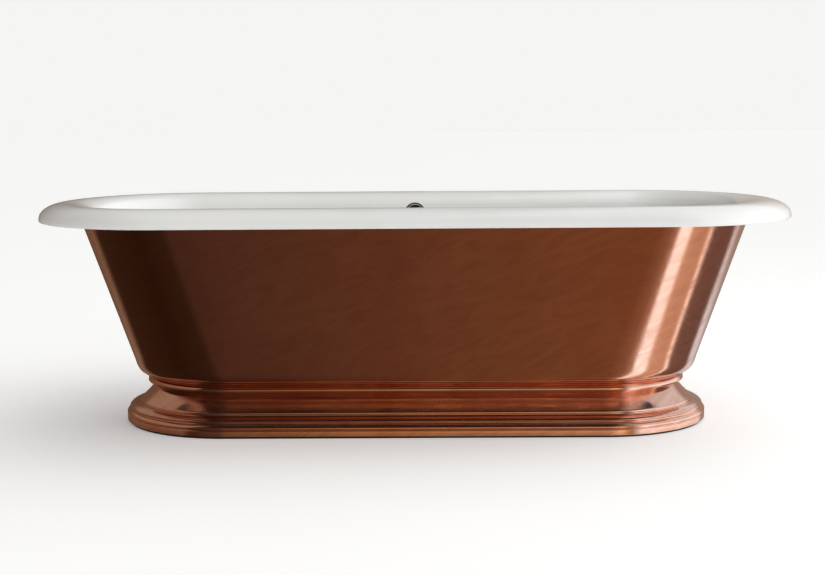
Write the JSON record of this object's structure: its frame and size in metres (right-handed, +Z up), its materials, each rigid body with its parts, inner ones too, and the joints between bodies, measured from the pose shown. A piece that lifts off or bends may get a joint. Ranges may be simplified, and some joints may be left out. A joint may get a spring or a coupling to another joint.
{
  "type": "freestanding bathtub",
  "caption": "Double-ended freestanding bath: enamelled iron tub with a wide rolled rim, polished copper skin, flared copper plinth, central push-down waste and rear overflow.",
  "frame": {"origin": "on the floor, below the middle of the tub", "axes": "+X along the tub, +Y to its rear (the overflow side), +Z up"},
  "size_m": [1.83, 0.82, 0.545],
  "materials": {
    "enamelled_iron": "white glossy vitreous enamel over cast iron, inside and over the rim",
    "polished_copper": "polished copper sheet, lacquered",
    "black_rubber": "matt black moulded rubber",
    "zinc_steel": "zinc-plated steel",
    "chrome": "polished chrome plate",
    "waste_brass": "cast and machined brass",
    "grey_plastic": "moulded dark grey plastic"
  },
  "bodies": {
    "bath": {"bath_shell": "enamelled_iron", "bearer_left": "zinc_steel", "bearer_right": "zinc_steel", "bearing_pad_left_front": "black_rubber", "bearing_pad_left_rear": "black_rubber", "bearing_pad_right_front": "black_rubber", "bearing_pad_right_rear": "black_rubber", "foot_left_front": "black_rubber", "foot_left_rear": "black_rubber", "foot_nut_left_front": "zinc_steel", "foot_nut_left_rear": "zinc_steel", "foot_nut_right_front": "zinc_steel", "foot_nut_right_rear": "zinc_steel", "foot_right_front": "black_rubber", "foot_right_rear": "black_rubber", "foot_stud_left_front": "zinc_steel", "foot_stud_left_rear": "zinc_steel", "foot_stud_right_front": "zinc_steel", "foot_stud_right_rear": "zinc_steel", "inlet_nut": "waste_brass", "neck_moulding": "polished_copper", "overflow_cup": "grey_plastic", "overflow_nut": "grey_plastic", "overflow_pipe": "waste_brass", "overflow_rose": "chrome", "overflow_seal": "black_rubber", "plinth_base_moulding": "polished_copper", "plinth_flare": "polished_copper", "plinth_floor_edge": "black_rubber", "plug_guide": "waste_brass", "seam_strip_left": "polished_copper", "seam_strip_right": "polished_copper", "skin_front": "polished_copper", "skin_rear": "polished_copper", "waste_body": "waste_brass", "waste_flange": "chrome", "waste_nut": "waste_brass", "waste_seal": "black_rubber"},
    "plug": {"plug_cap": "chrome", "plug_seal": "black_rubber", "plug_stem": "chrome"}
  },
  "joints": [
    {"name": "plug_lift", "type": "slide", "parent": "bath", "child": "plug", "axis": [0, 0, 1], "range_m": [0, 0.01]}
  ]
}
